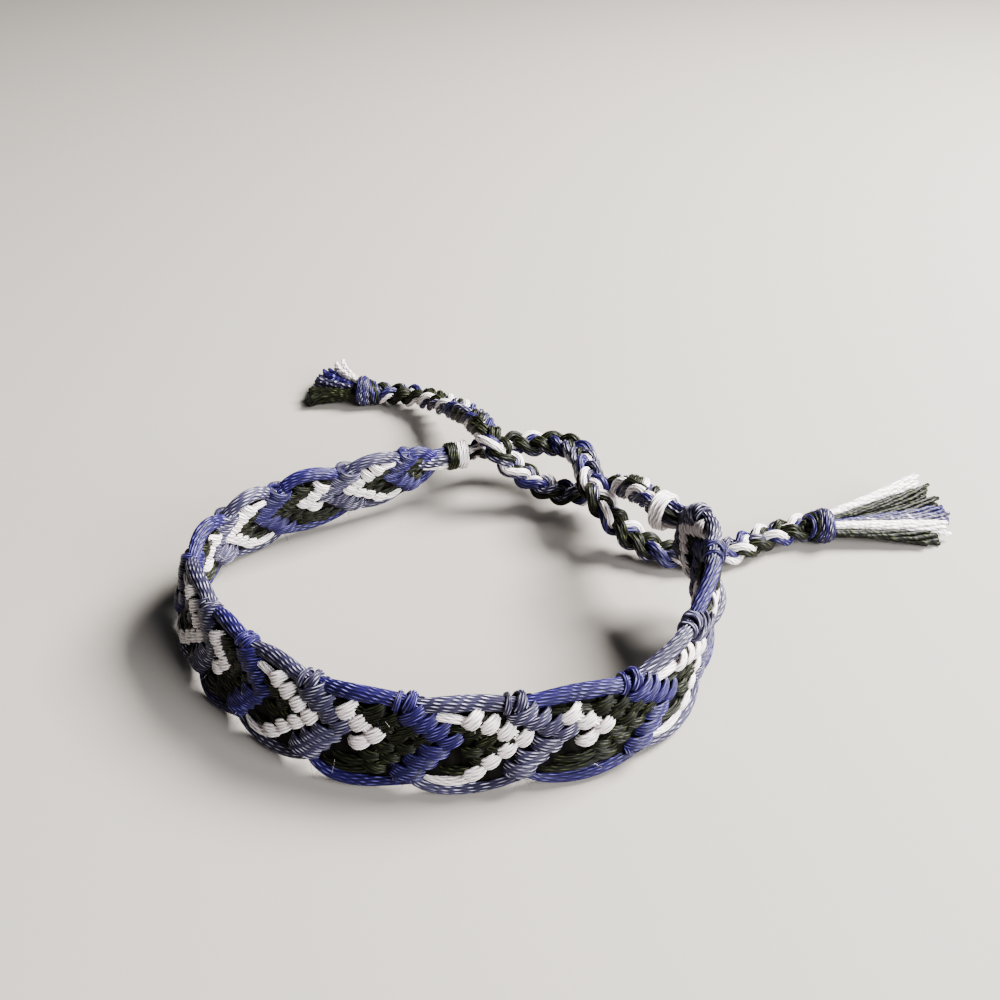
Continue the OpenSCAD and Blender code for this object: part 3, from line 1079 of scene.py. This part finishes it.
            # A float starts and ends under the wraps of its junctions, and the last ones are longer
            u = k - 0.55 + 1.5 * share if k == LAST_JUNCTION else k - 0.03 + 1.06 * share
            radius = self.float_d / 2 * (0.78 + 0.22 * arch) * (0.6 + 0.4 * self.band.squeeze(u))
            for upper in (-1, 1):
                w = 0.15 * np.sin(2 * np.pi * share + self.dice.uniform(0, 6))
                if upper > 0:
                    v = self.upper_float(u, arch)
                else:
                    v, w = self.lower_float(k, u, share, w)
                made[shade].rod(self.band.points(u, v, w), radius, BUNDLE, twist=upper * 0.016,
                                phase=self.dice.random())
        return made

    def inner_floats(self) -> dict[Shade, Threads]:
        """Makes the strings that lie free inside the edge floats while the rows between pass.

        Returns:
            The joined floats of each shade.
        """
        made = {WHITE: Threads(), GREEN: Threads()}
        share = np.linspace(0, 1, 16)
        for k in range(FIRST_JUNCTION, LAST_JUNCTION + 1):
            floats = AFTER_PERIWINKLE if self.float_shades(k)[0] is LAVENDER else AFTER_LAVENDER
            for shade, start, stop, v0, v1, v2 in floats:
                u = k + start + (stop - start) * share
                v = (v0 * (1 - share) ** 2 + (4 * v1 - v0 - v2) * share * (1 - share)
                     + v2 * share ** 2)
                for upper, radius, depth in INNER_SIDES:
                    for face in (-1, 1):
                        w = face * depth * np.sin(np.pi * share) ** 0.7
                        made[shade].rod(self.band.points(u, upper * v, w), radius + 0.18 * share,
                                        FREE_STRING, twist=0.02 * upper, phase=self.dice.random())
        return made

    def gathered_ends(self) -> dict[Shade, Threads]:
        """Makes the ten strings that run from the knots into each neck.

        Returns:
            The joined strings of each shade.
        """
        made = {shade: Threads() for shade in Shade}
        for end in GATHERED_ENDS:
            u = np.linspace(end.knots_u, end.end_u, 26)
            share = ramp(u, end.neck_u, end.knots_u - end.neck_u)
            share = share * share * (3 - 2 * share)
            squeeze = self.band.squeeze(u)
            for i, shade in enumerate(end.shades):
                # Flat and side by side in the knots, and in a ring of two layers in the neck
                angle = 2 * np.pi * (i + 0.5) / len(end.shades) + 0.6 * (1 - share)
                reach = NECK_LAYERS[i % 2] * end.swell
                v = ((i - (len(end.shades) - 1) / 2) * self.string_gap * share
                     + reach * np.cos(angle) / squeeze * (1 - share))
                w = reach * np.sin(angle) * (1 - share) + 0.2 * (1 if i % 2 else -1) * share
                made[shade].rod(self.band.points(u, v, w), self.string_r + 0.06 * share,
                                LOOSE_STRING, twist=0.03, phase=i * 0.37)
        return made

    def fuzz(self) -> dict[Shade, Threads]:
        """Makes the fine fibres that have worked loose, most of them at the edges.

        Returns:
            The joined fibres of each shade.
        """
        made = {shade: Threads() for shade in Shade}
        share = np.linspace(0, 1, 6)[:, None]
        dice = random.Random(11)
        for _ in range(self.fibres):
            u = dice.uniform(FIRST_JUNCTION - 0.2, LAST_JUNCTION + 0.6)
            near = round(u)
            upper = dice.choice((-1, 1))
            edge = dice.random() < 0.7
            if edge and dice.random() < 0.7:
                u = near + dice.uniform(-0.12, 0.12)
            _, along, out, rise = self.band.frame_at(u)
            if edge:
                shade = PERIWINKLE if near % 2 else LAVENDER
                w = dice.uniform(-0.6, 0.6)
                root = self.band.points(np.array([u]), [upper * FUZZY_EDGE], [w])[0]
                away = rise * upper + out * dice.uniform(-0.8, 0.8) + along * dice.uniform(-1, 1)
            else:
                shade = dice.choice((GREEN, WHITE, LAVENDER))
                face = dice.choice((-1, 1))
                v = dice.uniform(-3.5, 3.5)
                root = self.band.points(np.array([u]), [v], [face * FUZZY_FACE])[0]
                away = out * face * 0.7 + rise * dice.uniform(-1, 1) + along * dice.uniform(-1, 1)
            bend = np.array([dice.uniform(-1, 1) for _ in range(3)])
            length = dice.uniform(*FIBRE_LENGTHS)
            path = root + unit(away) * share * length + bend * share ** 2 * 0.6
            path[:, 2] = np.maximum(path[:, 2], 0.05)
            made[shade].rod(path, self.fibre_r * (1.1 - share[:, 0]), FIBRE)
        return made

    def core(self) -> Threads:
        """Makes the carrier strings inside the knots, as one flat thread; its nearly black material
        paints the shade between the knots.
        """
        threads = Threads()
        u = np.linspace(self.core_from, self.core_to, 180)
        # It narrows to a blunt tip inside each neck
        taper = np.clip(np.minimum(u - 2.0, 16.85 - u) / 0.8, 0.15, 1)
        place, _, out, rise = self.band.frame(u)
        height = (HALF_FLOAT * self.band.squeeze(u) * self.core_height
                  + 0.7 * np.abs(np.sin(np.pi * u)) * self.band.scallop(u))
        angle = 2 * np.pi * np.arange(CARRIERS.sides) / CARRIERS.sides
        power = 0.6
        up = (np.sign(np.cos(angle)) * np.abs(np.cos(angle)) ** power)[None, :, None]
        wide = (np.sign(np.sin(angle)) * np.abs(np.sin(angle)) ** power)[None, :, None]
        places = (place[:, None, :] + rise[:, None, :] * up * (taper * height)[:, None, None]
                  + out[:, None, :] * wide * self.core_depth)
        threads.add(places, CARRIERS, np.linspace(0, 130, len(u)))
        return threads

    def build(self, dye: Dye) -> None:
        """Builds the band's pieces.

        Args:
            dye: the materials.
        """
        dress(self.knots(), "{}_knots", self.node, dye)
        groups = (self.edge_floats(), self.inner_floats(), self.gathered_ends(), self.fuzz())
        floats = {shade: join(group[shade] for group in groups if shade in group)
                  for shade in Shade}
        dress(floats, "{}_floats", self.node, dye)
        # The carrier strings' nearly black material is painted shade in the gaps between the knots
        fasten(self.core().mesh("carrier_strings_in_painted_shade", dye.carrier), [self.node])


@dataclass
class Binding:
    """Floss wound three times round the gathered strings.

    Attributes:
        node: the solid that it stands for.
        shade: its colour.
        u: its place along the band.
        turns: how often it goes round.
        pitch: from one turn to the next.
        thread_r: radius of the thread.
        winding_r: radius of a turn at the middle of the thread.
        wide: how much larger the whole winding is than that.
        band: the band whose strings it holds.
    """
    node: str
    shade: Shade
    u: float
    turns: int = 3
    pitch: float = 0.4
    thread_r: float = 0.34
    winding_r: float = 1.72
    wide: float = 1.0
    band: Band = field(default_factory=Band)

    def build(self, dye: Dye) -> None:
        """Builds the winding.

        Args:
            dye: the materials.
        """
        place, along, out, rise = self.band.frame_at(self.u)
        dice = random.Random(self.node)
        threads = Threads()
        angle = np.linspace(0, 2 * np.pi, 40, endpoint=False)[:, None]
        for turn in range(self.turns):
            offset = (turn - (self.turns - 1) / 2) * self.pitch * self.wide
            lean = dice.uniform(-0.08, 0.08)
            radius = self.winding_r * self.wide + dice.uniform(-0.06, 0.06)
            path = (place + along * offset
                    + radius * (np.cos(angle) * out + np.sin(angle) * (rise + along * lean)))
            threads.rod(path, self.thread_r * self.wide, LOOSE_STRING, twist=0.1, closed=True)
        dress({self.shade: threads}, f"{self.node}_winding", self.node, dye)


# Strings of each strand of a braid
STRANDS = (
    (PERIWINKLE, PERIWINKLE, WHITE), (GREEN, GREEN, LAVENDER), (GREEN, WHITE, LAVENDER, GREEN),
)
# Shade, place along the knot, radius and lean of each turn of a stopper knot
STOPPER_TURNS = (
    (PERIWINKLE, -1.25, 1.4, 0.5), (GREEN, -0.8, 1.6, 0.5), (PERIWINKLE, -0.3, 1.7, 0.45),
    (GREEN, 0.1, 1.6, 0.3), (LAVENDER, 0.4, 1.9, 0.08), (PERIWINKLE, 0.8, 2.05, 0.05),
    (LAVENDER, 1.25, 2.03, 0.02), (PERIWINKLE, 1.65, 1.8, 0.0),
)
# Strings of each tassel from the uppermost to the lowest, with where each ends across it
LEFT_TASSEL = (
    (WHITE, 0.04), (GREEN, 0.22), (GREEN, 0.35), (PERIWINKLE, 0.46), (LAVENDER, 0.51),
    (LAVENDER, 0.57), (PERIWINKLE, 0.61), (WHITE, 0.74), (GREEN, 0.89), (GREEN, 1.0),
)
RIGHT_TASSEL = (
    (WHITE, 0.0), (WHITE, 0.1), (PERIWINKLE, 0.2), (PERIWINKLE, 0.3), (LAVENDER, 0.4),
    (LAVENDER, 0.5), (GREEN, 0.72), (GREEN, 0.82), (GREEN, 0.91), (GREEN, 1.0),
)
# How far the strands of a string spread at its cut end, in millimetres
TASSEL_FAN = {WHITE: 0.66, GREEN: 0.75, PERIWINKLE: 0.5, LAVENDER: 0.5}


@dataclass
class Tie:
    """A braid of three strands that ends in a stopper knot and a tassel.

    Attributes:
        side: left or right, as in the names of its solids.
        route: places along the middle of the braid.
        tips: where the locks of the tassel end, from the uppermost to the lowest.
        cut_strings: shade of each string of the tassel, and where it ends across it, from 0 to 1.
        plait_length: length in which a strand crosses the braid and comes back.
        swing: how far a strand lies to either side.
        dip: how far it goes over and under the others.
        opening: length over which the braid opens from the binding.
        string_r: radius of a string.
        string_step: length between the sections of a string.
        string_offset: how far a string lies from the middle of its strand.
        lay: length in which the strings of a strand turn once round each other.
        knot_length: length of the stopper knot.
        knot_string_r: radius of a string drawn tight in it.
        strands_each: strands that show at the cut end of each string.
        strand_r: radius of such a strand.
        strand_gap: how far they lie from the middle one where they leave the knot.
        root_width: width of the tassel there.
        floor_gap: least height of a strand's middle over the floor.
    """
    side: str
    route: np.ndarray
    tips: np.ndarray
    cut_strings: tuple[tuple[Shade, float], ...]
    plait_length: float = 8.4
    swing: float = 1.1
    dip: float = 0.64
    opening: float = 5.0
    string_r: float = 0.52
    string_step: float = 0.32
    string_offset: float = 0.5
    lay: float = 26.0
    knot_length: float = 4.0
    knot_string_r: float = 0.43
    strands_each: int = 8
    strand_r: float = 0.3
    strand_gap: float = 0.27
    root_width: float = 2.4
    floor_gap: float = 0.22

    def places(self, s: np.ndarray) -> tuple[np.ndarray, np.ndarray]:
        """Place and direction at each length s along the route, in millimetres."""
        steps = np.linalg.norm(np.diff(self.route, axis=0), axis=1)
        marks = np.concatenate([[0.0], np.cumsum(steps)])
        u = np.interp(s, marks, np.arange(len(marks)))
        along = direction_at(self.route, u)
        beyond = np.maximum(s - marks[-1], 0)[:, None]
        return row_at(self.route, u) + along * beyond - CENTRE, along

    def frame_at(self, s: float) -> tuple[np.ndarray, ...]:
        """Place, and direction along, sideways and upwards, at one length along the route."""
        place, along = self.places(np.array([s]))
        return tuple(a[0] for a in (place, along, *side_and_up(along)))

    @property
    def length(self) -> float:
        """Length of the route."""
        return float(np.sum(np.linalg.norm(np.diff(self.route, axis=0), axis=1)))

    def strand(self, number: int) -> dict[Shade, Threads]:
        """Makes the strings of one strand of the braid.

        Args:
            number: 1, 2 or 3.

        Returns:
            The joined strings of each shade.
        """
        made = defaultdict(Threads)
        shades = STRANDS[number - 1]
        stop = self.length - self.knot_length / 2 + 0.4
        s = np.linspace(-0.2, stop, int(stop / self.string_step))
        place, along = self.places(s)
        side, up = side_and_up(along)
        share = np.clip(0.3 + 0.7 * s / self.opening, 0.3, 1)[:, None]
        phase = (2 * np.pi * s / self.plait_length + 2 * np.pi * number / 3)[:, None]
        plait = side * self.swing * np.sin(phase) + up * self.dip * np.sin(2 * phase)
        middle = place + share * plait
        across = unit(np.cross(unit(np.gradient(middle, axis=0)), up))
        for i, shade in enumerate(shades):
            turn = (2 * np.pi * (i / len(shades) + s / self.lay + 0.31 * number))[:, None]
            path = middle + self.string_offset * (across * np.cos(turn) + up * np.sin(turn))
            made[shade].rod(path, self.string_r, TIGHT_STRING, twist=0.03, phase=0.31 * i)
        return made

    def stopper(self) -> dict[Shade, Threads]:
        """Makes the stopper knot: slanting turns on the braid's side, then a fat upright wrap.

        Returns:
            The joined strings of each shade.
        """
        made = defaultdict(Threads)
        place, along, side, up = self.frame_at(self.length)
        angle = np.linspace(0, 2 * np.pi, 44, endpoint=False)[:, None]
        for i, (shade, offset, radius, lean) in enumerate(STOPPER_TURNS):
            swell = radius * (1 + 0.04 * np.sin(2 * angle + i))
            shift = offset + lean * radius * np.cos(angle - 0.8)
            path = place + along * shift + swell * (np.cos(angle) * side + np.sin(angle) * up)
            made[shade].rod(path, self.knot_string_r, TIGHT_STRING, twist=0.05, phase=0.2 * i,
                            closed=True)
        # A fat string through the middle fills the turns
        share = np.linspace(-1, 1, 9)
        path = place + along * (1.9 * share)[:, None]
        made[GREEN].rod(path, 0.8 + 0.65 * np.sqrt(1 - share ** 2), TIGHT_STRING)
        return made

    def tassel(self) -> dict[Shade, Threads]:
        """Makes the cut strings of the tassel, each of strands wound round one in the middle.

        Returns:
            The joined strands of each shade.
        """
        made = defaultdict(Threads)
        dice = random.Random(self.side)
        root, along, side, up = self.frame_at(self.length + self.knot_length / 2 - 0.6)
        across = self.tips[0] - self.tips[-1]
        across = unit(across - along * np.dot(across, along))
        share = np.linspace(0, 1, 16)[:, None]
        for i, (shade, f) in enumerate(self.cut_strings):
            # White lies on top, and the others in two layers below it
            layer = 1.0 if shade is WHITE else 0.3 if i % 2 else -0.8
            start = root + across * (0.5 - f) * self.root_width + up * layer * 0.6
            end = row_at(self.tips, np.array([f * (len(self.tips) - 1)]))[0]
            tip = end - CENTRE + up * layer * 0.3
            middle = (start + tip) / 2 + along * 1.4 + up * dice.uniform(-0.2, 0.4)
            string = start * (1 - share) ** 2 + 2 * middle * share * (1 - share) + tip * share ** 2
            turns = dice.uniform(0.45, 0.8)
            for j in range(self.strands_each):
                around = 2 * np.pi * (j / (self.strands_each - 1) + turns * share)
                spread = 0.0 if j == 0 else self.strand_gap + TASSEL_FAN[shade] * share ** 1.5
                path = string + spread * (side * np.cos(around) + up * 0.85 * np.sin(around))
                path = path + (path[-1] - path[-2]) * share ** 2 * dice.uniform(-0.7, 0.5)
                path[:, 2] = np.maximum(path[:, 2], self.floor_gap)
                made[shade].rod(path, self.strand_r, STRAND, twist=0.18, phase=dice.random())
        return made

    def build(self, dye: Dye) -> None:
        """Builds the tie's pieces.

        Args:
            dye: the materials.
        """
        for number in (1, 2, 3):
            node = f"{self.side}_tie_strand_{number}"
            dress(self.strand(number), f"{node}_{{}}", node, dye)
        for name, made in (("knot", self.stopper()), ("tassel", self.tassel())):
            node = f"{self.side}_tie_{name}"
            dress(made, f"{node}_{{}}", node, dye)


@dataclass(frozen=True)
class Softbox:
    """A square light that faces the bracelet.

    Attributes:
        name: its name.
        place: its middle, in metres.
        size: length of its side, in metres.
        power: its power in watts.
        colour: its linear colour.
    """
    name: str
    place: tuple[float, float, float]
    size: float
    power: float
    colour: tuple[float, float, float]

    def build(self) -> None:
        """Builds the light."""
        data = bpy.data.lights.new(self.name, "AREA")
        data.size = self.size
        data.energy = self.power
        data.color = self.colour
        lamp = bpy.data.objects.new(self.name, data)
        lamp.location = self.place
        lamp.rotation_euler = (-Vector(self.place)).to_track_quat("-Z", "Y").to_euler()
        bpy.context.scene.collection.objects.link(lamp)


@dataclass
class Studio:
    """A plain pale floor, soft light from the back right, and the camera.

    Attributes:
        camera_place: place of the camera, in millimetres.
        pitch_down: how far it looks down, in degrees.
        lens, sensor: focal length and width of the sensor, in millimetres.
        floor_size: length of the floor's side, in metres.
        room_colour: linear colour of the light from all round.
        room_strength: its strength.
        lights: the two lights.
    """
    camera_place: tuple[float, float, float] = (-11.02, -107.87, 86.12)
    pitch_down: float = 36.5
    lens: float = 36.0
    sensor: float = 36.0
    floor_size: float = 3.0
    room_colour: tuple[float, float, float, float] = (0.85, 0.88, 0.95, 1.0)
    room_strength: float = 0.09
    lights: tuple[Softbox, ...] = (
        Softbox("window", (0.33, 0.12, 0.36), 0.22, 28.0, (1.0, 0.98, 0.95)),
        Softbox("fill", (0.40, -0.32, 0.28), 0.3, 12.0, (0.97, 0.98, 1.0)),
    )

    def floor(self) -> None:
        """Builds the floor."""
        bm = bmesh.new()
        bmesh.ops.create_grid(bm, x_segments=1, y_segments=1, size=self.floor_size / 2)
        mesh = bpy.data.meshes.new("floor")
        bm.to_mesh(mesh)
        bm.free()
        mesh.materials.append(PalePaint().material())
        floor = bpy.data.objects.new("floor", mesh)
        bpy.context.scene.collection.objects.link(floor)

    def room(self) -> None:
        """Sets the light that comes from all round."""
        world = bpy.data.worlds.new("room")
        world.use_nodes = True
        background = world.node_tree.nodes["Background"]
        background.inputs[0].default_value = self.room_colour
        background.inputs[1].default_value = self.room_strength
        bpy.context.scene.world = world

    def camera(self) -> None:
        """Sets up the camera."""
        data = bpy.data.cameras.new("camera")
        data.lens = self.lens
        data.sensor_width = self.sensor
        data.clip_start = 0.005
        camera = bpy.data.objects.new("camera", data)
        camera.location = [c * MM for c in self.camera_place]
        camera.rotation_euler = Euler((math.radians(90 - self.pitch_down), 0, 0))
        bpy.context.scene.collection.objects.link(camera)
        bpy.context.scene.camera = camera

    def build(self) -> None:
        """Builds the whole studio."""
        self.floor()
        for light in self.lights:
            light.build()
        self.room()
        self.camera()


def main() -> None:
    """Builds the bracelet and its studio."""
    logging.basicConfig(level=logging.INFO, format="%(name)s %(message)s")
    Studio().build()
    dye = Dye()
    KnottedBand().build(dye)
    Binding("left_green_binding", GREEN, 0.92).build(dye)
    Binding("left_white_binding", WHITE, 0.32).build(dye)
    Binding("right_white_binding", WHITE, 17.62, wide=1.2).build(dye)
    Tie("left", LEFT_TIE, LEFT_TIPS, LEFT_TASSEL).build(dye)
    Tie("right", RIGHT_TIE, RIGHT_TIPS, RIGHT_TASSEL).build(dye)


if __name__ == "__main__":
    main()
